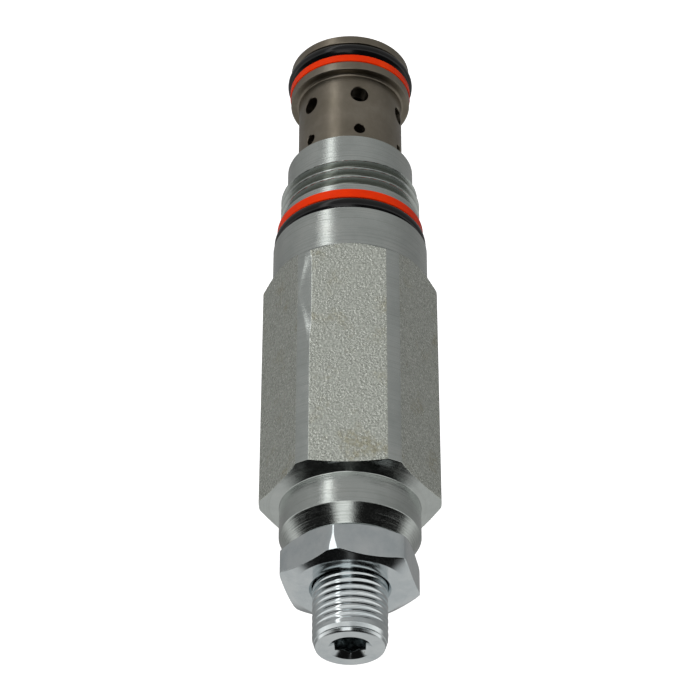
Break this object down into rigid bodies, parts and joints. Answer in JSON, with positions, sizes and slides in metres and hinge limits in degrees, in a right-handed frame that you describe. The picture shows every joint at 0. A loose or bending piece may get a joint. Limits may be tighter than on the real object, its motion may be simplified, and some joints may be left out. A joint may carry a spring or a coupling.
{
  "type": "cartridge valve",
  "caption": "Screw-in hydraulic relief cartridge: ported nose sleeve, threaded collar, long hexagon body, adjusting screw with lock nut.",
  "frame": {"origin": "centre of the nose end face, on the valve axis", "axes": "+Z along the valve axis from the nose to the adjusting screw; -Y is the outward normal of one flat of the hexagon"},
  "size_m": [0.0244, 0.0222, 0.098],
  "materials": {
    "zinc_body": "satin zinc plate",
    "bright_zinc": "bright zinc plate",
    "sleeve_steel": "turned, lightly oiled",
    "seal_rubber": "moulded nitrile",
    "backup_ring": "satin",
    "hardened_steel": "ground",
    "spring_steel": "oil tempered",
    "guide_bronze": "turned",
    "ptfe": "satin"
  },
  "bodies": {
    "cartridge": {"hex_body": "zinc_body", "nose_sleeve": "sleeve_steel", "nose_o_ring": "seal_rubber", "nose_backup_ring": "backup_ring", "collar_o_ring": "seal_rubber", "collar_backup_ring": "backup_ring", "valve_seat": "hardened_steel", "seat_o_ring": "seal_rubber", "seat_retaining_ring": "spring_steel", "sleeve_retaining_ring": "spring_steel", "poppet_guide": "guide_bronze", "main_spring": "spring_steel"},
    "poppet": {"poppet": "hardened_steel", "damping_ring": "ptfe", "lower_spring_seat": "hardened_steel"},
    "spring_adjuster": {"adjusting_piston": "hardened_steel", "piston_o_ring": "seal_rubber", "piston_backup_ring": "ptfe", "preload_shim": "hardened_steel", "thrust_ball": "hardened_steel"},
    "screw": {"adjusting_screw": "bright_zinc", "screw_stop_ring": "spring_steel"},
    "nut_seal": {"nut_seal_ring": "ptfe"},
    "nut": {"lock_nut": "bright_zinc"}
  },
  "joints": [
    {"name": "poppet_lift", "type": "slide", "parent": "cartridge", "child": "poppet", "axis": [0, 0, 1], "range_m": [0, 0.0018], "stiffness_N_per_m": 200, "springref_m": -0.002, "deforming": ["main_spring"]},
    {"name": "piston_travel", "type": "slide", "parent": "cartridge", "child": "spring_adjuster", "axis": [0, 0, 1], "range_m": [-0.0025, 0.0025], "deforming": ["main_spring"]},
    {"name": "adjuster_turn", "type": "hinge", "parent": "spring_adjuster", "child": "screw", "pos_m": [0, 0, 0.09], "axis": [0, 0, 1], "range_deg": [-901, 901]},
    {"name": "nut_lift", "type": "slide", "parent": "cartridge", "child": "nut_seal", "axis": [0, 0, 1], "range_m": [0, 0.002]},
    {"name": "nut_turn", "type": "hinge", "parent": "nut_seal", "child": "nut", "pos_m": [0, 0, 0.0867], "axis": [0, 0, 1], "range_deg": [0, 721]}
  ],
  "couplings": [
    {"joint": "adjuster_turn", "follows": "piston_travel", "rad_per_m": 6283.2},
    {"joint": "nut_turn", "follows": "nut_lift", "rad_per_m": 6283.2}
  ]
}
